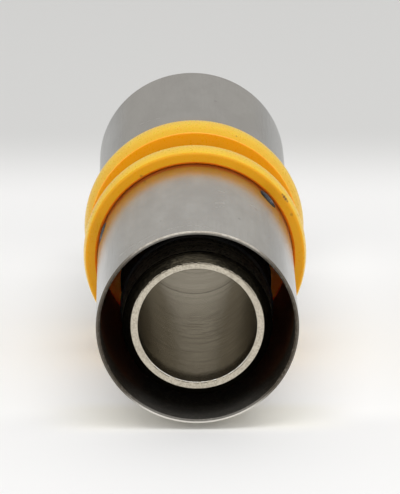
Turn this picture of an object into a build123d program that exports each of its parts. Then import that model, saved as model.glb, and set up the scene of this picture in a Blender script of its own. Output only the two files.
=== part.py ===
"""Straight press coupling for 32 x 3 mm multilayer gas pipe, built as its separate pieces.

The coupling's axis is the Y axis and its centre is the origin, so it lies on a table with +Z up.
The front end is at -Y. Lengths are in millimetres. A section is drawn with X as the radius and
Y as the distance from the coupling's centre, for the rear half, and the front half mirrors it.
"""

import os
from math import sqrt

from build123d import *

# The pipe that the coupling joins
pipe_r = 16.0
pipe_wall = 3.0

# Body: one turned piece, with a barbed insert at each end and a collar in the middle
coupling_length = 96.3  # mouth to mouth, over both sleeves
insert_wall = 2.68  # from the bore to the barbs' crests
bore_chamfer = 0.15
insert_recess = 1.1  # from a sleeve's mouth back to the end of the insert
insert_gap = 0.12  # radial, inside the pipe
nose_chamfer = 1.45  # radial
nose_chamfer_length = 1.35
nose_land = 0.6
barb_depth = 0.58
barb_pitch = 3.1
barb_land = 0.4
bore_line_width = 0.5  # shallow line where the two drilled halves of the bore meet
bore_line_depth = 0.04
collar_height = 3.28  # above the holder ring's seat
collar_width = 8.0
collar_chamfer = 0.4

# Seals
seal_section_r = 0.95
seal_squeeze = 0.25  # how far a relaxed O-ring stands into the pipe's wall
seal_seat_gap = 0.02
seal_groove_slack = 0.5
seal_land = 1.0

# Sleeves: thin stainless tube, flared at the inner end, open at the mouth
sleeve_gap = 0.7  # radial, outside the pipe
sleeve_wall = 0.7
flare_height = 0.5
flare_length = 1.05
mouth_round = 0.28
window_r = 2.0
window_count = 3
window_from_face = 0.05  # from the holder ring's face to the window's edge
window_turn = {"front": 48.0, "rear": 18.0}  # degrees from the top, towards +X
grip_from_window = 0.25

# Holder rings: moulded plastic, snapped on the body beside the collar
web_thickness = 1.95
lip_thickness = 1.45
ring_width = 6.05
seat_wall = 0.04  # how far the seat stands above the insert's barbs
snap_height = 0.43
snap_length = 0.9
crown_height = 2.5  # radial, crest above the sleeve
crown_at = 3.15  # from the ring's inner wall to its crest
crown_inner_drop = 0.93
crown_outer_drop = 0.4
ring_inner_round = 0.25
ring_outer_round = 0.45
socket_chamfer = 0.4

# Fits between pieces that turn on each other
running_gap = 0.05  # radial, on a bearing surface
end_gap = 0.05  # axial, between thrust faces
loose_gap = 0.15  # where the surfaces never bear

# Sizes that follow from the ones above
pipe_bore_r = pipe_r - pipe_wall
barb_r = pipe_bore_r - insert_gap
barb_root_r = barb_r - barb_depth
bore_r = barb_r - insert_wall
sleeve_inner_r = pipe_r + sleeve_gap
sleeve_r = sleeve_inner_r + sleeve_wall
half_length = coupling_length / 2
insert_end = half_length - insert_recess
collar_face = collar_width / 2
seat_r = barb_r + seat_wall
collar_r = seat_r + collar_height
snap_r = seat_r + snap_height
ring_inner_face = collar_face + end_gap
lip_face = ring_inner_face + lip_thickness
web_face = ring_inner_face + web_thickness
ring_outer_face = ring_inner_face + ring_width
snap_start = lip_face + end_gap
snap_end = snap_start + snap_length
crest_r = sleeve_r + crown_height
socket_r = sleeve_r + running_gap
flare_r = sleeve_r + flare_height
sleeve_start = web_face + 2 * end_gap
flare_end = sleeve_start + flare_length
window_at = ring_outer_face + window_from_face + window_r
seal_centre_r = pipe_bore_r + seal_squeeze - seal_section_r
seal_root_r = seal_centre_r - seal_section_r - seal_seat_gap
seal_groove_width = 2 * seal_section_r + seal_groove_slack
seal_run = seal_groove_width + 2 * seal_land

# The barbs fill what the two seals leave between the nose and the windows
grip_start = insert_end - nose_chamfer_length - nose_land
grip_end = window_at + window_r + grip_from_window
barb_count = int((grip_start - grip_end - 2 * seal_run) / barb_pitch)
end_barbs = barb_count // 3
grip_order = (
    ["barb"] * end_barbs
    + ["seal"]
    + ["barb"] * (barb_count - 2 * end_barbs)
    + ["seal"]
    + ["barb"] * end_barbs
)


def turned(outline):
    """Solid of revolution about the coupling's axis, from (radius, distance) points."""
    return revolve(make_face(Polyline(*outline, close=True)), Axis.Y)


def grip_outline():
    """The insert's barbs and seal grooves from the nose inwards, and each groove's centre."""
    points, seal_centres, y = [], [], grip_start
    for feature in grip_order:
        if feature == "barb":
            y_crest = y - barb_pitch + barb_land
            points += [(barb_r, y), (barb_root_r, y), (barb_r, y_crest)]
            y -= barb_pitch
        else:
            near, far = y - seal_land, y - seal_land - seal_groove_width
            points += [(barb_r, y), (barb_r, near), (seal_root_r, near)]
            points += [(seal_root_r, far), (barb_r, far)]
            seal_centres.append((near + far) / 2)
            y -= seal_run
    points += [(barb_r, y), (barb_root_r, y)]
    return points, seal_centres


def make_body():
    """Bore, nose, grip, snap rib, ring seat and half of the collar, then both halves as one."""
    grip, _ = grip_outline()
    snap_drop = snap_r - barb_root_r
    half = turned(
        [
            (bore_r + bore_line_depth, 0),
            (bore_r, bore_line_width / 2),
            (bore_r, insert_end - bore_chamfer),
            (bore_r + bore_chamfer, insert_end),
            (barb_r - nose_chamfer, insert_end),
            (barb_r, insert_end - nose_chamfer_length),
            *grip,
            (barb_root_r, snap_end + snap_drop),
            (snap_r, snap_end),
            (snap_r, snap_start),
            (seat_r, snap_start),
            (seat_r, collar_face),
            (collar_r - collar_chamfer, collar_face),
            (collar_r, collar_face - collar_chamfer),
            (collar_r, 0),
        ]
    )
    return half + mirror(half, about=Plane.XZ)


def make_seal(y):
    """Relaxed O-ring in the groove whose centre is at y."""
    return Pos(0, y, 0) * Rot(90, 0, 0) * Torus(seal_centre_r, seal_section_r)


def make_ring():
    """Crowned holder ring: snap lip, web that stops the pipe, undercut socket for the sleeve."""
    groove_r = flare_r + loose_gap
    undercut = flare_end + loose_gap
    inner_edge = (crest_r - crown_inner_drop, ring_inner_face)
    outer_edge = (crest_r - crown_outer_drop, ring_outer_face)
    crest = (crest_r, ring_inner_face + crown_at)
    inside = Polyline(
        outer_edge,
        (socket_r + socket_chamfer, ring_outer_face),
        (socket_r, ring_outer_face - socket_chamfer),
        (socket_r, undercut + groove_r - socket_r),
        (groove_r, undercut),
        (groove_r, web_face),
        (snap_r + loose_gap, web_face),
        (snap_r + loose_gap, lip_face),
        (seat_r + running_gap, lip_face),
        (seat_r + running_gap, ring_inner_face),
        inner_edge,
    )
    section = make_face(inside + ThreePointArc(inner_edge, crest, outer_edge))
    for corner, radius in ((inner_edge, ring_inner_round), (outer_edge, ring_outer_round)):
        section = fillet(section.vertices().sort_by_distance(corner)[0], radius)
    return revolve(section, Axis.Y)


def make_sleeve(turn):
    """Thin press sleeve with a flared inner end, a rounded mouth and the inspection windows."""
    cone_shift = sleeve_wall * (sqrt(2) - 1)
    outer_lip = (sleeve_r, half_length)
    inner_lip = (sleeve_inner_r, half_length)
    section = make_face(
        Polyline(
            (flare_r - sleeve_wall, sleeve_start),
            (flare_r, sleeve_start),
            (flare_r, flare_end),
            (sleeve_r, flare_end + flare_height),
            outer_lip,
            inner_lip,
            (sleeve_inner_r, flare_end + flare_height - cone_shift),
            (flare_r - sleeve_wall, flare_end - cone_shift),
            close=True,
        )
    )
    for corner in (outer_lip, inner_lip):
        section = fillet(section.vertices().sort_by_distance(corner)[0], mouth_round)
    sleeve = revolve(section, Axis.Y)
    drill = Cylinder(window_r, 2 * sleeve_wall + sleeve_r)
    drill = Pos(0, window_at, (2 * sleeve_wall + sleeve_r) / 2) * drill
    for index in range(window_count):
        sleeve -= Rot(0, turn + index * 360 / window_count, 0) * drill
    return sleeve


def make_parts():
    """Every piece, by node name, in its place."""
    _, seal_centres = grip_outline()
    parts = {"coupling_body": make_body()}
    for end in ("front", "rear"):
        pieces = {
            "holder_ring": make_ring(),
            "press_sleeve": make_sleeve(window_turn[end]),
            "o_ring_outer": make_seal(seal_centres[0]),
            "o_ring_inner": make_seal(seal_centres[1]),
        }
        for name, piece in pieces.items():
            if end == "front":
                piece = mirror(piece, about=Plane.XZ)
            parts[f"{end}_{name}"] = piece
    return parts


os.makedirs("parts", exist_ok=True)
for node, shape in make_parts().items():
    export_step(shape, f"parts/{node}.step")
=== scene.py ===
"""Straight press coupling for multilayer gas pipe, lying on a pale floor.

Every piece is turned about the coupling's axis, Y, from an outline drawn in millimetres as
(radius, distance from the coupling's centre). Outlines are drawn for the rear end, at +Y.
"""

import math

import bmesh
import bpy
from mathutils import Euler, Matrix, Vector


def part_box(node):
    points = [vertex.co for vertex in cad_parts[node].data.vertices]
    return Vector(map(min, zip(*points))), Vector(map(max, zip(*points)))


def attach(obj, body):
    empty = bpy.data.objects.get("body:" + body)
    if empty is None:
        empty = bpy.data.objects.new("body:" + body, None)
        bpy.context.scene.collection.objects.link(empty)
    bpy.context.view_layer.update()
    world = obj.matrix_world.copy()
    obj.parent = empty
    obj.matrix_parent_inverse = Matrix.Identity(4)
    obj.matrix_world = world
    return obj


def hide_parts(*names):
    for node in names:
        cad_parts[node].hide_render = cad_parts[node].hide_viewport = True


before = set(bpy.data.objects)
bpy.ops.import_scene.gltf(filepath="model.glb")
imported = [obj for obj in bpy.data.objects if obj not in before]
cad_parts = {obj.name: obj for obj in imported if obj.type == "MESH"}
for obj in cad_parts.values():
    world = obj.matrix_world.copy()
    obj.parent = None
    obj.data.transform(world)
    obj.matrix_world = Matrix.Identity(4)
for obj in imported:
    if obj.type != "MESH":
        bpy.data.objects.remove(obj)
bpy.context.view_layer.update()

MM = 0.001
ENDS = {"front": -1, "rear": 1}
X, Y, Z = 0, 1, 2

# ---------------------------------------------------------------- sizes, in millimetres


def lowest(node, axis):
    """The lowest coordinate of a CAD node along an axis."""
    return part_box(node)[0][axis] / MM


def highest(node, axis):
    """The highest coordinate of a CAD node along an axis."""
    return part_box(node)[1][axis] / MM


crown_rise = 0.012  # how far the crown's arc rises above the crest point on it

insert_end = highest("coupling_body", Y)
collar_r = highest("coupling_body", X)
mouth = highest("rear_press_sleeve", Y)
flare_r = highest("rear_press_sleeve", X)
sleeve_start = lowest("rear_press_sleeve", Y)
ring_inner_face = lowest("rear_holder_ring", Y)
ring_outer_face = highest("rear_holder_ring", Y)
crest_r = highest("rear_holder_ring", Z) - crown_rise
floor_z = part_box("rear_holder_ring")[0][Z]  # metres

running_gap = 0.05  # radial, on a bearing surface
end_gap = 0.05  # axial, between thrust faces
loose_gap = 0.15  # where the surfaces never bear

bore_r = 10.2
bore_line_depth = 0.04
bore_line_half = 0.25
nose_r = 11.43
nose_length = 1.35
nose_land = 0.6
barb_r = 12.88
barb_root_r = 12.3
barb_pitch = 3.1
barb_land = 0.4
collar_face = ring_inner_face - end_gap
collar_chamfer = 0.4
seat_r = 12.92
lip_face = ring_inner_face + 1.45
web_face = ring_inner_face + 1.95
snap_r = 13.35
snap_start = lip_face + end_gap
snap_end = snap_start + 0.9
seal_root_r = 11.33
seal_seat_gap = 0.02
seal_section_r = 0.95
seal_flash = 0.02
seal_groove_width = 2.4
seal_land = 1.0
grip_order = ["barb"] * 2 + ["seal"] + ["barb"] * 3 + ["seal"] + ["barb"] * 2

sleeve_r = 17.4
sleeve_wall = 0.7
flare_end = sleeve_start + 1.05
window_r = 2.0
window_draw_in = 0.08  # how much wider a window is where the punch entered
window_draw_depth = 0.12
window_at = ring_outer_face + 0.05 + window_r
window_count = 3
window_turn = {"front": 48.0, "rear": 18.0}  # degrees from the top, towards +X

socket_r = sleeve_r + running_gap
socket_chamfer = 0.4
crown_at = 3.15  # from the ring's inner face to its crest
crown_inner_drop = 0.93
crown_outer_drop = 0.4

# Rounds of the edges, and how many flat steps a full turn has
crisp_round = 0.06
mould_round = 0.08
edge_round = 0.1
root_round = 0.12
bore_round = 0.14
nose_round = 0.15
groove_round = 0.2
rim_outer_round = 0.12
rim_inner_round = 0.22
flare_round = 0.3
neck_round = 0.5
crown_inner_round = 0.25
crown_outer_round = 0.45
body_steps = 320
tube_steps = 384
seal_steps = 192
window_steps = 64

floor_tilt = 1.75  # degrees: the coupling lies slightly nose down on its front ring

# ---------------------------------------------------------------- outlines and meshes


def rounded(corners, steps=4):
    """Points of a closed outline whose corners, (r, y, radius), are turned into arcs.

    Each long straight run keeps a point close to its arcs, so that smooth shading stays flat
    on it.
    """
    most_of_run = 0.42  # the share of a straight run that one round may take
    long_run = 4  # a long run, and the place of its extra point, in trims
    beyond_arc = 0.6
    points = []
    for index, (r, y, radius) in enumerate(corners):
        here = Vector((r, y))
        back = Vector(corners[index - 1][:2]) - here
        ahead = Vector(corners[(index + 1) % len(corners)][:2]) - here
        if not radius:
            points.append(here)
            continue
        half_turn = back.angle(ahead) / 2
        shortest = most_of_run * min(back.length, ahead.length)
        trim = min(radius / math.tan(half_turn), shortest)
        radius = trim * math.tan(half_turn)
        middle = (back.normalized() + ahead.normalized()).normalized()
        centre = here + middle * radius / math.sin(half_turn)
        first = here + back.normalized() * trim
        last = here + ahead.normalized() * trim
        if back.length > long_run * trim:
            points.append(first + back.normalized() * trim * beyond_arc)
        start = first - centre
        sweep = start.angle_signed(last - centre)
        for step in range(steps + 1):
            spin = Matrix.Rotation(-sweep * step / steps, 2)
            points.append(centre + spin @ start)
        if ahead.length > long_run * trim:
            points.append(last + ahead.normalized() * trim * beyond_arc)
    return points


def turned(name, outline, segments, side=1):
    """Mesh object turned from a closed outline; side -1 mirrors it to the front end."""
    weld = 1e-7  # metres; closes the outlines that touch the axis
    mesh = bpy.data.meshes.new(name)
    form = bmesh.new()
    rings = []
    for step in range(segments):
        turn = 2 * math.pi * step / segments
        across, up = math.sin(turn) * MM, math.cos(turn) * MM
        rings.append([form.verts.new((r * across, side * y * MM, r * up)) for r, y in outline])
    for step in range(segments):
        here, there = rings[step], rings[(step + 1) % segments]
        for index in range(len(outline)):
            form.faces.new((here[index - 1], here[index], there[index], there[index - 1]))
    bmesh.ops.remove_doubles(form, verts=form.verts, dist=weld)
    bmesh.ops.recalc_face_normals(form, faces=form.faces)
    form.to_mesh(mesh)
    form.free()
    piece = bpy.data.objects.new(name, mesh)
    bpy.context.scene.collection.objects.link(piece)
    return piece


def smooth(piece, angle=32):
    """Smooth shading that keeps the edges sharper than this angle, in degrees."""
    piece.data.shade_smooth()
    piece.data.set_sharp_from_angle(angle=math.radians(angle))


def finish_piece(piece, node, body, look):
    """The piece takes the CAD node's place, moves with its body and gets its material."""
    piece.data.materials.clear()
    piece.data.materials.append(look)
    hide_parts(node)
    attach(piece, body)


# ---------------------------------------------------------------- coupling body


def grip_outline():
    """Barbs and seal grooves from the nose inwards, and the place of each groove's centre."""
    corners, centres = [], []
    y = insert_end - nose_length - nose_land
    for feature in grip_order:
        if feature == "barb":
            corners += [(barb_r, y, crisp_round), (barb_root_r, y, root_round)]
            corners += [(barb_r, y - barb_pitch + barb_land, edge_round)]
            y -= barb_pitch
        else:
            near, far = y - seal_land, y - seal_land - seal_groove_width
            corners += [(barb_r, y, 0), (barb_r, near, edge_round)]
            corners += [(seal_root_r, near, groove_round), (seal_root_r, far, groove_round)]
            corners += [(barb_r, far, edge_round)]
            centres.append((near + far) / 2)
            y -= seal_groove_width + 2 * seal_land
    corners += [(barb_r, y, crisp_round), (barb_root_r, y, root_round)]
    return corners, centres


def body_half_outline():
    """The rear half, from the bore's middle out round the nose and back to the collar's middle."""
    grip, _ = grip_outline()
    corners = [
        (bore_r + bore_line_depth, 0, 0),
        (bore_r, bore_line_half, edge_round),
        (bore_r, insert_end, bore_round),
        (nose_r, insert_end, edge_round),
        (barb_r, insert_end - nose_length, nose_round),
        *grip,
        (barb_root_r, snap_end + snap_r - barb_root_r, groove_round),
        (snap_r, snap_end, root_round),
        (snap_r, snap_start, crisp_round),
        (seat_r, snap_start, crisp_round),
        (seat_r, collar_face, crisp_round),
        (collar_r - collar_chamfer, collar_face, edge_round),
        (collar_r, collar_face - collar_chamfer, edge_round),
        (collar_r, 0, 0),
    ]
    return rounded(corners)


def make_body(look):
    """The body: its rear half's outline and the mirror of it, which share their end points."""
    half = [tuple(point) for point in body_half_outline()]
    mirrored = [(r, -y) for r, y in reversed(half)]
    piece = turned("coupling_body_turned", half + mirrored[1:-1], body_steps)
    smooth(piece)
    finish_piece(piece, "coupling_body", "body", look)


def seal_outline(centre_y, points=40):
    """An O-ring's round section, with fine flash lines on the two sides where its mould parts."""
    centre_r = seal_root_r + seal_seat_gap + seal_section_r
    outline = []
    for step in range(points):
        turn = 2 * math.pi * step / points
        beside_flash = step % (points // 2) in (1, points // 2 - 1)
        bulge = seal_section_r - (seal_flash if beside_flash else 0)
        outline.append((centre_r + bulge * math.cos(turn), centre_y + bulge * math.sin(turn)))
    return outline


def make_seals(look):
    """The two O-rings at each end."""
    _, centres = grip_outline()
    for end, side in ENDS.items():
        for place, y in zip(("outer", "inner"), centres):
            piece = turned(f"{end}_seal_{place}", seal_outline(y), seal_steps, side)
            smooth(piece, 60)
            finish_piece(piece, f"{end}_o_ring_{place}", "body", look)


# ---------------------------------------------------------------- press sleeves


def window_cutter(centre, outward):
    """Round punch through the sleeve's wall, with a slight draw-in at the outer face."""
    wide_r = window_r + window_draw_in
    inner_end, outer_end = sleeve_r - 3, sleeve_r + 2
    outline = [
        (0, inner_end),
        (window_r, inner_end),
        (window_r, sleeve_r - window_draw_depth),
        (wide_r, sleeve_r + window_draw_depth / 2),
        (wide_r, outer_end),
        (0, outer_end),
    ]
    cutter = turned("window_cutter", outline, window_steps)
    aim = Vector((0, 1, 0)).rotation_difference(outward).to_matrix().to_4x4()
    cutter.data.transform(Matrix.Translation(centre) @ aim)
    return cutter


def cut(piece, cutter):
    """Boolean difference, applied, with the cutter deleted."""
    change = piece.modifiers.new("cut", "BOOLEAN")
    change.operation = "DIFFERENCE"
    change.solver = "EXACT"
    change.object = cutter
    bpy.context.view_layer.objects.active = piece
    bpy.ops.object.modifier_apply(modifier=change.name)
    bpy.data.objects.remove(cutter)


def mark_window_walls(piece, centre, outward):
    """Give the faces round a window's hole the sleeve's second material."""
    slack = 0.01
    hole_r = (window_r + window_draw_in + slack) * MM
    for face in piece.data.polygons:
        offset = face.center - centre
        if offset.dot(outward) > 0 and offset.cross(outward).length < hole_r:
            face.material_index = 1


def make_sleeve(end, look, wall_look):
    """Drawn steel tube: flared inner end, rounded mouth, inspection windows."""
    side = ENDS[end]
    inner_r = sleeve_r - sleeve_wall
    flare = flare_r - sleeve_r
    shift = sleeve_wall * (math.sqrt(2) - 1)  # keeps the wall's thickness along the cone
    corners = [
        (flare_r - sleeve_wall, sleeve_start, root_round),
        (flare_r, sleeve_start, root_round),
        (flare_r, flare_end, flare_round),
        (sleeve_r, flare_end + flare, neck_round),
        (sleeve_r, mouth, rim_outer_round),
        (inner_r, mouth, rim_inner_round),
        (inner_r, flare_end + flare - shift, flare_round),
        (flare_r - sleeve_wall, flare_end - shift, flare_round),
    ]
    piece = turned(f"{end}_sleeve_drawn", rounded(corners, 6), tube_steps, side)
    centre = Vector((0, side * window_at * MM, 0))
    directions = []
    for index in range(window_count):
        turn = math.radians(window_turn[end] + index * 360 / window_count)
        directions.append(Vector((math.sin(turn), 0, math.cos(turn))))
    for outward in directions:
        cut(piece, window_cutter(centre, outward))
    smooth(piece)
    finish_piece(piece, f"{end}_press_sleeve", f"{end}_sleeve", look)
    piece.data.materials.append(wall_look)
    for outward in directions:
        mark_window_walls(piece, centre, outward)


# ---------------------------------------------------------------- holder rings


def arc_through(start, middle, end, steps):
    """Points of the circular arc through three points, from the first to the last."""
    (ax, ay), (bx, by), (cx, cy) = start, middle, end
    spread = 2 * (ax * (by - cy) + bx * (cy - ay) + cx * (ay - by))
    sa, sb, sc = ax * ax + ay * ay, bx * bx + by * by, cx * cx + cy * cy
    ox = (sa * (by - cy) + sb * (cy - ay) + sc * (ay - by)) / spread
    oy = (sa * (cx - bx) + sb * (ax - cx) + sc * (bx - ax)) / spread
    radius = math.hypot(ax - ox, ay - oy)
    first = math.atan2(ay - oy, ax - ox)
    last = math.atan2(cy - oy, cx - ox)
    turns = [first + (last - first) * step / steps for step in range(steps + 1)]
    return [(ox + radius * math.cos(t), oy + radius * math.sin(t)) for t in turns]


def ring_outline():
    """Crowned outside, chamfered and undercut socket, web and snap lip."""
    groove_r = flare_r + loose_gap
    undercut = flare_end + loose_gap
    web_r = snap_r + loose_gap
    lip_r = seat_r + running_gap
    inner_edge = (crest_r - crown_inner_drop, ring_inner_face)
    outer_edge = (crest_r - crown_outer_drop, ring_outer_face)
    crown = arc_through(inner_edge, (crest_r, ring_inner_face + crown_at), outer_edge, 16)
    clear_of_rounds = crown[2:-2]
    corners = [
        (*outer_edge, crown_outer_round),
        (socket_r + socket_chamfer, ring_outer_face, mould_round),
        (socket_r, ring_outer_face - socket_chamfer, mould_round),
        (socket_r, undercut + groove_r - socket_r, mould_round),
        (groove_r, undercut, edge_round),
        (groove_r, web_face, edge_round),
        (web_r, web_face, mould_round),
        (web_r, lip_face, mould_round),
        (lip_r, lip_face, mould_round),
        (lip_r, ring_inner_face, mould_round),
        (*inner_edge, crown_inner_round),
        *((r, y, 0) for r, y in clear_of_rounds),
    ]
    return rounded(corners)


def make_ring(end, look):
    """One moulded holder ring."""
    piece = turned(f"{end}_ring_moulded", ring_outline(), tube_steps, ENDS[end])
    smooth(piece)
    finish_piece(piece, f"{end}_holder_ring", f"{end}_ring", look)


# ---------------------------------------------------------------- materials


class Look:
    """A material under construction, with short ways to add and join its nodes."""

    def __init__(self, name, **constants):
        self.material = bpy.data.materials.new(name)
        self.material.use_nodes = True
        self.tree = self.material.node_tree
        self.shader = self.tree.nodes["Principled BSDF"]
        for socket, value in constants.items():
            self.set(socket.replace("_", " "), value)
        place = self.add("ShaderNodeTexCoord").outputs["Object"]
        scale = self.add("ShaderNodeVectorMath", {0: place, 1: (1 / MM,) * 3}, operation="MULTIPLY")
        self.place = scale.outputs[0]
        parts = self.add("ShaderNodeSeparateXYZ", {0: self.place}).outputs
        self.x, self.y, self.z = parts[0], parts[1], parts[2]
        squares = self.maths("ADD", self.maths("POWER", self.x, 2), self.maths("POWER", self.z, 2))
        self.radius = self.maths("SQRT", squares)

    def set(self, socket, value):
        """Give a socket of the shader one value all over."""
        self.shader.inputs[socket].default_value = value

    def drive(self, socket, value):
        """Join a node's output to a socket of the shader."""
        self.tree.links.new(value, self.shader.inputs[socket])

    def add(self, kind, inputs=None, **settings):
        """Add a node; its inputs are sockets to join or plain values."""
        node = self.tree.nodes.new(kind)
        for key, value in settings.items():
            setattr(node, key, value)
        for key, value in (inputs or {}).items():
            if isinstance(value, bpy.types.NodeSocket):
                self.tree.links.new(value, node.inputs[key])
            else:
                node.inputs[key].default_value = value
        return node

    def maths(self, operation, *values):
        """One step of arithmetic on sockets or numbers."""
        return self.add("ShaderNodeMath", dict(enumerate(values)), operation=operation).outputs[0]

    def noise(self, stretch, detail=3.0, roughness=0.55, offset=(0, 0, 0)):
        """Noise over the piece's millimetres, each axis multiplied by its own stretch."""
        inputs = {0: self.place, 1: stretch, 2: offset}
        where = self.add("ShaderNodeVectorMath", inputs, operation="MULTIPLY_ADD").outputs[0]
        inputs = {"Vector": where, "Scale": 1.0, "Detail": detail, "Roughness": roughness}
        return self.add("ShaderNodeTexNoise", inputs).outputs["Fac"]

    def turning(self, frequency, detail=2.0):
        """Noise that changes only along the axis and with the radius: a lathe tool's marks."""
        along = self.maths("MULTIPLY", self.y, frequency)
        out = self.maths("MULTIPLY", self.radius, frequency)
        where = self.add("ShaderNodeCombineXYZ", {0: out, 1: along}).outputs[0]
        inputs = {"Vector": where, "Scale": 1.0, "Detail": detail, "Roughness": 0.6}
        return self.add("ShaderNodeTexNoise", inputs).outputs["Fac"]

    def span(self, value, low, high, out_low=0.0, out_high=1.0):
        """Value mapped from low..high to out_low..out_high, clamped, with soft ends."""
        inputs = {0: value, 1: low, 2: high, 3: out_low, 4: out_high}
        node = self.add("ShaderNodeMapRange", inputs, interpolation_type="SMOOTHSTEP")
        return node.outputs[0]

    def ends(self):
        """Distance from the coupling's middle along the axis, the same at both ends."""
        return self.maths("ABSOLUTE", self.y)

    def beside(self, low, high):
        """A mask that rises from low to high distance to either side of the axis."""
        return self.span(self.maths("ABSOLUTE", self.x), low, high)

    def near(self, value, target, width, strength=1.0):
        """A band where a value is within width of a target, strongest at the target."""
        gap = self.maths("ABSOLUTE", self.maths("SUBTRACT", value, target))
        return self.span(gap, width, width * 0.3, 0.0, strength)

    def spot(self, turn, radius, y, size, strength=1.0):
        """A small round mark at a turn in degrees from the top, a radius and a place along."""
        angle = math.radians(turn)
        centre = (radius * math.sin(angle), y, radius * math.cos(angle))
        inputs = {0: self.place, 1: centre}
        gap = self.add("ShaderNodeVectorMath", inputs, operation="DISTANCE").outputs["Value"]
        return self.span(gap, size, size * 0.4, 0.0, strength)

    def unrolled(self, radius):
        """Places on a cylinder, unrolled flat: mm round from the top, mm along."""
        turn = self.maths("ARCTAN2", self.x, self.z)
        inputs = {0: self.maths("MULTIPLY", turn, radius), 1: self.y}
        return self.add("ShaderNodeCombineXYZ", inputs).outputs[0]

    def stroke(self, flat, radius, start, end, width, strength):
        """A thin mark between two places, each (degrees from the top, mm along the axis)."""
        first = Vector((math.radians(start[0]) * radius, start[1], 0))
        run = Vector((math.radians(end[0]) * radius, end[1], 0)) - first
        inputs = {0: flat, 1: tuple(first)}
        offset = self.add("ShaderNodeVectorMath", inputs, operation="SUBTRACT").outputs[0]
        inputs = {0: offset, 1: tuple(run / run.length_squared)}
        share = self.add("ShaderNodeVectorMath", inputs, operation="DOT_PRODUCT").outputs["Value"]
        share = self.maths("MINIMUM", self.maths("MAXIMUM", share, 0.0), 1.0)
        along = self.add("ShaderNodeVectorMath", {0: tuple(run), "Scale": share}, operation="SCALE")
        inputs = {0: offset, 1: along.outputs[0]}
        gap = self.add("ShaderNodeVectorMath", inputs, operation="DISTANCE").outputs["Value"]
        return self.span(gap, width / 2, width / 5, 0.0, strength)

    def most(self, masks):
        """The strongest of several masks."""
        result = masks[0]
        for mask in masks[1:]:
            result = self.maths("MAXIMUM", result, mask)
        return result

    def both(self, first, second):
        """Two masks multiplied, or one mask weakened by a number."""
        return self.maths("MULTIPLY", first, second)

    def mix(self, factor, first, second):
        """Colour mix; the factor is a socket or a number, the colours are sockets or (r, g, b)."""
        node = self.add("ShaderNodeMix", data_type="RGBA", blend_type="MIX")
        for index, value in ((0, factor), (6, first), (7, second)):
            if isinstance(value, bpy.types.NodeSocket):
                self.tree.links.new(value, node.inputs[index])
            else:
                node.inputs[index].default_value = value if index == 0 else (*value, 1.0)
        return node.outputs[2]

    def bump(self, *layers):
        """Height layers, each (value, depth in mm), as one chain of bump nodes."""
        normal = None
        for value, depth in layers:
            inputs = {"Height": value, "Distance": depth * MM, "Strength": 1.0}
            if normal:
                inputs["Normal"] = normal
            normal = self.add("ShaderNodeBump", inputs).outputs[0]
        self.drive("Normal", normal)


# Marks on the sleeves. A scratch has a start and an end, each in degrees from the top and
# millimetres along the axis, a width and a strength. A dot has a place and a size.
front_light_scratches = [
    ((11, -31.5), (16, -30.5), 0.3, 0.5),
    ((13, -24), (17, -24.5), 0.25, 0.3),
    ((11, -34), (16, -32.5), 0.2, 0.3),
    ((33, -25), (36, -24.5), 0.25, 0.25),
    ((9, -46.5), (-1, -45), 0.3, 0.2),
    ((-1, -45), (-33, -45), 0.25, 0.2),
    ((-33, -45), (-49, -43), 0.35, 0.3),
    ((142, -20), (150, -31), 0.2, 0.3),
    ((-118, -34), (-121, -22), 0.2, 0.3),
]
front_dark_dots = [(25, -36.5, 0.4), (37, -25.5, 0.4), (-21, -39, 0.25), (160, -28, 0.4)]
rear_light_scratches = [
    ((-20, 22), (-34, 24.5), 0.25, 0.15),
    ((75, 18), (83, 30), 0.2, 0.3),
    ((150, 40), (171, 37.5), 0.25, 0.3),
    ((-95, 34), (-99, 20), 0.2, 0.3),
]
rear_dark_dots = [(14, 31, 0.4), (-60, 27, 0.35), (110, 36, 0.4)]

STEEL = {
    "plain": (0.57, 0.562, 0.55),
    "pale": (0.66, 0.655, 0.645),
    "line": (0.5, 0.49, 0.475),
    "grain": (0.74, 0.735, 0.72),
    "dimmed_all_over": (0.4, 0.395, 0.385),
    "ring_reflection": (0.6, 0.43, 0.2),
    "shaded": (0.3, 0.26, 0.22),
    "scratch": (0.88, 0.86, 0.8),
    "dot": (0.2, 0.19, 0.17),
    "rim_dark": (0.42, 0.385, 0.33),
    "rim_pale": (0.62, 0.585, 0.52),
    "rim_floor_reflection": (0.8, 0.77, 0.71),
    "rim_side_shade": (0.13, 0.115, 0.095),
    "inside_deep_shade": (0.1, 0.088, 0.074),
    "inside_mouth_less_shade": (0.2, 0.19, 0.172),
    "inside_web_reflection": (0.24, 0.1, 0.05),
    "inside_side_shade": (0.075, 0.062, 0.048),
    "dust": (0.46, 0.43, 0.38),
    "sheared_dark": (0.06, 0.062, 0.066),
    "sheared_pale": (0.17, 0.175, 0.18),
}


def drawn_tone(look, lines, grain, dimming):
    """The sleeve's outside: faint patches, lines and grain; painted shade dims the rear sleeve all
    over, and near the ring there is a painted reflection of the yellow ring and painted shade.
    """
    patches = look.noise((0.22, 0.1, 0.22), detail=4.0, roughness=0.6, offset=(7, 3, 1))
    tone = look.mix(look.span(patches, 0.32, 0.68), STEEL["plain"], STEEL["pale"])
    tone = look.mix(look.span(lines, 0.35, 0.65, 0.0, 0.22), tone, STEEL["line"])
    tone = look.mix(look.span(grain, 0.4, 0.75, 0.0, 0.14), tone, STEEL["grain"])
    # painted shade: this sleeve's copy made darker all over
    tone = look.mix(dimming, tone, STEEL["dimmed_all_over"])
    from_ring = look.maths("SUBTRACT", look.ends(), ring_outer_face)
    # painted reflection: the yellow ring's face mirrored in the steel beside it
    tone = look.mix(look.near(from_ring, 5.0, 5.0, 0.14), tone, STEEL["ring_reflection"])
    # painted shade: a darker band right next to the ring
    return look.mix(look.span(from_ring, 4.2, 1.0, 0.0, 0.3), tone, STEEL["shaded"])


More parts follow.
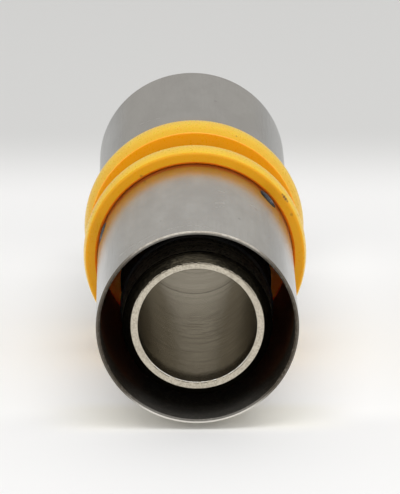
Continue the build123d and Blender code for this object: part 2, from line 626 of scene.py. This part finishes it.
def rim_tone(look, nicks, beside):
    """The cut rim with its burr: paler below as a painted reflection of the floor, and dark at the
    sides as painted shade.
    """
    burr = look.mix(look.span(nicks, 0.35, 0.65), STEEL["rim_dark"], STEEL["rim_pale"])
    # painted reflection: the floor seen in the rim's lower part
    burr = look.mix(look.span(look.z, -8.0, -14.0), burr, STEEL["rim_floor_reflection"])
    # painted shade: the rim's sides
    return look.mix(beside, burr, STEEL["rim_side_shade"])


def inside_tone(look, beside):
    """The sleeve's dull, slightly dusty inside, with painted shade deeper in and at the sides near
    the mouth, and a painted orange reflection of the ring's web deep in at the sides.
    """
    dust = look.span(look.noise((1.6, 1.6, 1.6), detail=5.0, roughness=0.7), 0.45, 0.75)
    near_mouth = look.span(look.ends(), mouth - 8.0, mouth - 4.5)
    # painted shade: darker from the mouth inwards
    dull = look.mix(near_mouth, STEEL["inside_deep_shade"], STEEL["inside_mouth_less_shade"])
    # at the sides: painted shade near the mouth, a painted orange reflection of the web deeper in
    side = look.mix(near_mouth, STEEL["inside_web_reflection"], STEEL["inside_side_shade"])
    dull = look.mix(beside, dull, side)
    return look.mix(look.both(dust, 0.35), dull, STEEL["dust"])


def stainless_look(name, scratches, dots, dimming):
    """Satin drawn steel with handling marks, a cut rim and a dull inside; dimming darkens the whole
    sleeve as painted shade.
    """
    look = Look(name, Metallic=1.0, Specular_Tint=(0.82, 0.82, 0.82, 1.0))
    lines = look.noise((7.0, 0.1, 7.0), detail=4.0)
    grain = look.noise((2.6, 1.6, 2.6), detail=3.0, offset=(1, 5, 9))
    nicks = look.noise((1.3, 1.3, 1.3), detail=4.0, roughness=0.7)
    inside = look.span(look.radius, sleeve_r - 0.26, sleeve_r - 0.38)
    rim = look.span(look.ends(), mouth - 0.14, mouth - 0.05)
    # the sides, where the rim and the inside get painted shade
    beside = look.beside(8.0, 13.5)

    flat = look.unrolled(sleeve_r)
    faded = look.span(look.noise((1.1, 1.1, 1.1), detail=2.0), 0.35, 0.6)
    light = look.most([look.stroke(flat, sleeve_r, *scratch) for scratch in scratches])
    light = look.both(light, faded)
    dark = look.most([look.spot(turn, sleeve_r, y, size, 0.5) for turn, y, size in dots])

    tone = drawn_tone(look, lines, grain, dimming)
    tone = look.mix(light, tone, STEEL["scratch"])
    tone = look.mix(dark, tone, STEEL["dot"])
    tone = look.mix(rim, tone, rim_tone(look, nicks, beside))
    tone = look.mix(inside, tone, inside_tone(look, beside))
    look.drive("Base Color", tone)

    roughness = look.span(lines, 0.3, 0.7, 0.2, 0.26)
    for mask, extra in ((light, 0.4), (rim, 0.12), (inside, 0.3)):
        roughness = look.maths("ADD", roughness, look.both(mask, extra))
    look.drive("Roughness", roughness)
    look.bump((lines, 0.004), (grain, 0.005), (look.both(nicks, rim), 0.025), (light, -0.01))
    return look.material


def punched_look():
    """The dull sheared wall of a window, with torn marks, made dark all over as painted shade."""
    look = Look("stainless_sheared", Metallic=1.0, Roughness=0.5)
    tears = look.noise((5.0, 5.0, 5.0), detail=3.0)
    # painted shade: dark and pale tones kept very low for steel
    tone = look.mix(look.span(tears, 0.3, 0.7), STEEL["sheared_dark"], STEEL["sheared_pale"])
    look.drive("Base Color", tone)
    look.bump((tears, 0.02))
    return look.material


BRASS = {
    "bored": (0.52, 0.485, 0.42),
    "bored_pale": (0.6, 0.565, 0.495),
    "dash": (0.27, 0.245, 0.2),
    "middle_line": (0.14, 0.125, 0.1),
    "bore_far_lit": (0.68, 0.64, 0.57),
    "entry": (0.05, 0.042, 0.032),
    "faced": (0.42, 0.375, 0.3),
    "faced_pale": (0.6, 0.55, 0.45),
    "chipped": (0.1, 0.085, 0.06),
    "lip": (0.9, 0.88, 0.84),
    "nose": (0.007, 0.006, 0.0042),
    "nose_pale": (0.022, 0.019, 0.014),
    "barbs": (0.3, 0.26, 0.2),
    "glint": (0.036, 0.031, 0.021),
}


def bored_tone(look, feed, worked):
    """The bore: the tool's broken lines, the shallow middle line, paler further in as painted light
    from the far end, and dark just inside the ends.
    """
    tone = look.mix(look.span(feed, 0.35, 0.65), BRASS["bored"], BRASS["bored_pale"])
    dashes = look.both(look.span(feed, 0.47, 0.56, 0.0, 0.7), worked)
    tone = look.mix(dashes, tone, BRASS["dash"])
    tone = look.mix(look.near(look.ends(), 0.0, 0.35, 0.5), tone, BRASS["middle_line"])
    # painted light: paler towards the middle, lit through the far end
    tone = look.mix(look.span(look.ends(), 14.0, 36.0, 0.0, 0.4), tone, BRASS["bore_far_lit"])
    entry = look.span(look.ends(), insert_end - 5.8, insert_end - 2.0)
    return look.mix(look.both(entry, 0.88), tone, BRASS["entry"])


def faced_tone(look, specks, torn, top):
    """The faced end: a torn lip at the bore below carrying a painted highlight, dark chips there
    and at the top.
    """
    bottom = look.span(look.z, -4.0, -8.0)
    tone = look.mix(look.span(specks, 0.38, 0.6), BRASS["faced"], BRASS["faced_pale"])
    burr = look.both(look.near(look.radius, bore_r + 0.2, 0.2), bottom)
    line = look.both(look.near(look.radius, nose_r - 0.22, 0.16), top)
    chipped = look.both(look.maths("MAXIMUM", burr, line), torn)
    tone = look.mix(look.both(chipped, 0.85), tone, BRASS["chipped"])
    # painted highlight: glints along the torn lip
    lip = look.both(look.near(look.radius, bore_r + 0.06, 0.14), bottom)
    return look.mix(look.both(lip, torn), tone, BRASS["lip"])


def outside_tone(look, marks, feed, barbed):
    """Outside the bore, within the sleeve: a nose nearly black and barbs darker, both as painted
    shade, with small painted glints.
    """
    # painted shade: the nose inside the sleeve kept nearly black
    tone = look.mix(look.span(marks, 0.4, 0.7), BRASS["nose"], BRASS["nose_pale"])
    # painted shade: the barbs darker than the tinned brass
    tone = look.mix(barbed, tone, BRASS["barbs"])
    scuffs = look.noise((2.2, 4.0, 2.2), detail=5.0, roughness=0.75)
    # painted highlights: small glints
    glints = look.both(look.span(scuffs, 0.48, 0.56), look.span(feed, 0.36, 0.52))
    return look.mix(glints, tone, BRASS["glint"])


def tinned_look():
    """Turned brass under a thin grey tin coat: worked bore, bright faced end, and an outside
    darkened as painted shade.

    At the top of the faced end the dark nose reaches a little further in.
    """
    look = Look("tinned_brass_turned", Metallic=1.0, Specular_Tint=(0.56, 0.545, 0.51, 1.0))
    marks = look.turning(5.0, detail=3.0)
    feed = look.turning(2.1, detail=3.0)
    rings = look.turning(0.9)
    specks = look.noise((3.5, 3.5, 3.5), detail=4.0, roughness=0.65)
    fading = look.span(look.noise((0.35, 1.8, 0.35), detail=3.0), 0.38, 0.55)
    worked = look.both(fading, look.span(look.ends(), 3.0, 16.0))
    torn = look.span(look.noise((1.1, 1.1, 1.1), detail=5.0, roughness=0.75), 0.44, 0.52)
    top = look.span(look.z, 2.0, 8.0)

    bore = look.span(look.radius, bore_r + 0.07, bore_r + 0.04)
    nose_end = insert_end - nose_length
    barbed = look.span(look.ends(), nose_end, nose_end - 0.5)
    further_in = look.both(top, look.span(torn, 0.0, 1.0, 0.19, 0.06))
    reached = look.maths("ADD", look.radius, further_in)
    outside = look.span(reached, nose_r - 0.03, nose_r + 0.06)
    tone = look.mix(bore, faced_tone(look, specks, torn, top), bored_tone(look, feed, worked))
    look.drive("Base Color", look.mix(outside, tone, outside_tone(look, marks, feed, barbed)))

    roughness = look.span(rings, 0.3, 0.7, 0.2, 0.27)
    rough_grip = look.both(look.both(outside, barbed), 0.28)
    look.drive("Roughness", look.maths("ADD", roughness, rough_grip))
    look.bump((marks, 0.006), (look.both(feed, worked), 0.007), (specks, 0.004))
    return look.material


# Chips in the holder rings' edges, each (degrees from the top, radius, mm along, size, strength)
ring_chips = [
    (53, 19.4, -9.9, 0.3, 0.8),
    (54.5, 19.4, -9.9, 0.4, 1.0),
    (56, 19.4, -9.9, 0.4, 1.0),
    (57.5, 19.4, -9.9, 0.3, 0.8),
    (65, 18.9, -10.1, 0.4, 0.4),
    (-32, 18, -10.1, 0.35, 0.5),
    (128, 19.5, -9.8, 0.35, 0.6),
    (23, 19.5, 5.2, 0.25, 0.6),
    (-70, 19.5, 9.9, 0.3, 0.6),
    (171, 19.8, 8, 0.3, 0.6),
]

YELLOW = {
    "plain": (0.745, 0.47, 0.006),
    "pale": (0.785, 0.505, 0.01),
    "grain": (0.78, 0.42, 0.004),
    "outer_face": (0.7, 0.325, 0.002),
    "inner_slope": (0.72, 0.41, 0.003),
    "inner_face": (0.93, 0.395, 0.003),
    "socket": (0.87, 0.19, 0.001),
    "web": (1.0, 0.3, 0.0),
    "chip": (0.12, 0.065, 0.02),
}


def yellow_look():
    """Semi-gloss yellow moulding, deeper in tone on its faces, towards the gap and inside, as
    painted shade and painted light bounced between the yellow surfaces.
    """
    look = Look("yellow_moulded", IOR=1.5)
    look.set("Subsurface Weight", 0.35)
    look.set("Subsurface Radius", (1.0, 0.4, 0.03))
    look.set("Subsurface Scale", 2.0 * MM)
    cloud = look.noise((0.3, 0.3, 0.3), detail=4.0)
    grain = look.noise((2.4, 2.4, 2.4), detail=3.0)
    chips = look.most([look.spot(*chip) for chip in ring_chips])
    outer_face = look.span(look.ends(), ring_outer_face - 0.35, ring_outer_face - 0.1)
    inner_slope = look.span(look.ends(), ring_inner_face + 2.3, ring_inner_face + 0.9)
    inner_face = look.span(look.ends(), ring_inner_face + 0.16, ring_inner_face + 0.03)
    behind_web = look.span(look.ends(), web_face - 0.4, web_face)
    socket = look.both(look.span(look.radius, socket_r + 0.55, socket_r + 0.3), behind_web)
    web = look.span(look.radius, sleeve_r - 0.6, sleeve_r - 0.8)

    tone = look.mix(look.span(cloud, 0.3, 0.7), YELLOW["plain"], YELLOW["pale"])
    tone = look.mix(look.span(grain, 0.35, 0.7, 0.0, 0.35), tone, YELLOW["grain"])
    # painted shade: the outer face deeper than the crown
    tone = look.mix(outer_face, tone, YELLOW["outer_face"])
    # painted shade: the inner slope deeper
    tone = look.mix(inner_slope, tone, YELLOW["inner_slope"])
    # painted bounce light: the inner face a bright orange, facing the other ring
    tone = look.mix(inner_face, tone, YELLOW["inner_face"])
    # painted shade: the socket's mouth a dark red-brown
    tone = look.mix(socket, tone, YELLOW["socket"])
    # painted bounce light: the web in the pocket a bright orange
    tone = look.mix(web, tone, YELLOW["web"])
    tone = look.mix(look.both(chips, 0.9), tone, YELLOW["chip"])
    look.drive("Base Color", tone)
    look.drive("Specular IOR Level", look.span(outer_face, 0.0, 1.0, 0.56, 0.25))
    look.drive("Roughness", look.span(grain, 0.3, 0.7, 0.26, 0.36))
    look.bump((grain, 0.012), (chips, -0.1))
    return look.material


def rubber_look():
    """Matt black rubber."""
    look = Look("seal_rubber_matt", Roughness=0.6)
    dust = look.noise((2.0, 2.0, 2.0), detail=5.0)
    tone = look.mix(look.span(dust, 0.5, 0.8), (0.012,) * 3, (0.03,) * 3)
    look.drive("Base Color", tone)
    look.bump((dust, 0.004))
    return look.material


FLOOR = {
    "plain": (0.85, 0.85, 0.853),
    "back": (0.615, 0.617, 0.614),
    "beside": (0.965, 0.965, 0.962),
    "below_mouth": (0.93, 0.915, 0.855),
}


def floor_look():
    """Pale table, greyer from a little way behind the coupling.

    It is painted paler beside the coupling and warmer under the front mouth, in place of the
    light that the steel and the brass would throw down there.
    """
    look = Look("floor_pale", Roughness=0.75)
    along = look.both(look.span(look.y, -48, -36), look.span(look.y, 75, 45))
    beside = look.both(look.beside(50, 24), along)
    below = look.both(look.beside(30, 14), look.near(look.y, -41, 10))
    tone = look.mix(look.span(look.y, 94, 152), FLOOR["plain"], FLOOR["back"])
    tone = look.mix(beside, tone, FLOOR["beside"])
    tone = look.mix(below, tone, FLOOR["below_mouth"])
    look.drive("Base Color", tone)
    return look.material


# ---------------------------------------------------------------- stage, light and camera


def make_floor(size=6.0):
    """One large plane, size metres each way, under the front ring's crest.

    It rises a little towards the front mouth.
    """
    mesh = bpy.data.meshes.new("floor")
    crest_y = -(ring_inner_face + crown_at) * MM
    slope = math.tan(math.radians(floor_tilt))
    corners = [
        (x * size, y * size, floor_z - slope * (y * size - crest_y))
        for x, y in ((-1, -1), (1, -1), (1, 1), (-1, 1))
    ]
    mesh.from_pydata(corners, [], [(0, 1, 2, 3)])
    floor = bpy.data.objects.new("floor", mesh)
    floor.data.materials.append(floor_look())
    bpy.context.scene.collection.objects.link(floor)


# Colours of the surroundings, each (height of the direction, colour)
sky_behind = [(0.0, (0.6, 0.58, 0.54)), (0.33, (0.63, 0.61, 0.572)), (1.0, (0.9, 0.9, 0.91))]
sky_around = [(0.0, (1.32, 1.3, 1.26)), (0.5, (1.05, 1.04, 1.02)), (1.0, (0.5, 0.5, 0.5))]


def make_world():
    """Soft studio surroundings: bright low down in front and beside, greyer behind."""
    world = bpy.data.worlds.new("studio")
    bpy.context.scene.world = world
    world.use_nodes = True
    nodes, links = world.node_tree.nodes, world.node_tree.links
    place = nodes.new("ShaderNodeTexCoord")
    parts = nodes.new("ShaderNodeSeparateXYZ")
    links.new(place.outputs["Generated"], parts.inputs[0])

    def by_height(colours):
        """Colour by the direction's height."""
        node = nodes.new("ShaderNodeValToRGB")
        links.new(parts.outputs["Z"], node.inputs["Fac"])
        stops = node.color_ramp.elements
        while len(stops) < len(colours):
            stops.new(0.5)
        for stop, (height, colour) in zip(stops, colours):
            stop.position = height
            stop.color = (*colour, 1)
        return node.outputs["Color"]

    turn = nodes.new("ShaderNodeMapRange")
    turn.interpolation_type = "SMOOTHSTEP"
    links.new(parts.outputs["Y"], turn.inputs["Value"])
    turn.inputs["From Min"].default_value = 0.82  # from here on, straight behind
    turn.inputs["From Max"].default_value = 0.1
    blend = nodes.new("ShaderNodeMix")
    blend.data_type = "RGBA"
    links.new(turn.outputs[0], blend.inputs[0])
    links.new(by_height(sky_behind), blend.inputs[6])
    links.new(by_height(sky_around), blend.inputs[7])
    links.new(blend.outputs[2], nodes["Background"].inputs["Color"])
    nodes["Background"].inputs["Strength"].default_value = 0.97


def make_light(name, place, target, width, depth, power):
    """Rectangular soft light at a place, in metres, facing a target."""
    lamp = bpy.data.lights.new(name, "AREA")
    lamp.shape = "RECTANGLE"
    lamp.size = width
    lamp.size_y = depth
    lamp.energy = power
    light = bpy.data.objects.new(name, lamp)
    light.location = place
    aim = Vector(target) - Vector(place)
    light.rotation_euler = aim.to_track_quat("-Z", "Y").to_euler()
    bpy.context.scene.collection.objects.link(light)


def make_camera(place, pitch, yaw, lens):
    """Long lens at a place in metres, turned down by pitch and right by yaw, in radians."""
    camera = bpy.data.cameras.new("camera")
    camera.lens = lens
    camera.sensor_width = 36.0
    camera.clip_end = 50.0
    holder = bpy.data.objects.new("camera", camera)
    holder.location = place
    holder.rotation_euler = Euler((math.pi / 2 - pitch, 0, -yaw))
    bpy.context.scene.collection.objects.link(holder)
    bpy.context.scene.camera = holder


# ---------------------------------------------------------------- the scene

make_camera(place=(-0.00886, -0.8419, 0.2760), pitch=0.3182, yaw=0.0117, lens=358.1)
make_world()
make_light(
    "overhead",
    place=(0.09, -0.34, 0.95),
    target=(0, -0.05, 0),
    width=1.3,
    depth=0.4,
    power=5.3,
)
make_floor()

body_look = tinned_look()
seal_look = rubber_look()
steel_looks = {
    "front": stainless_look("stainless_satin_front", front_light_scratches, front_dark_dots, 0.0),
    # the rear sleeve's copy is dimmed all over as painted shade
    "rear": stainless_look("stainless_satin_rear", rear_light_scratches, rear_dark_dots, 0.46),
}
wall_look = punched_look()
plastic_look = yellow_look()
make_body(body_look)
make_seals(seal_look)
for end_name in ENDS:
    make_sleeve(end_name, steel_looks[end_name], wall_look)
    make_ring(end_name, plastic_look)

bpy.context.scene.view_settings.view_transform = "Standard"
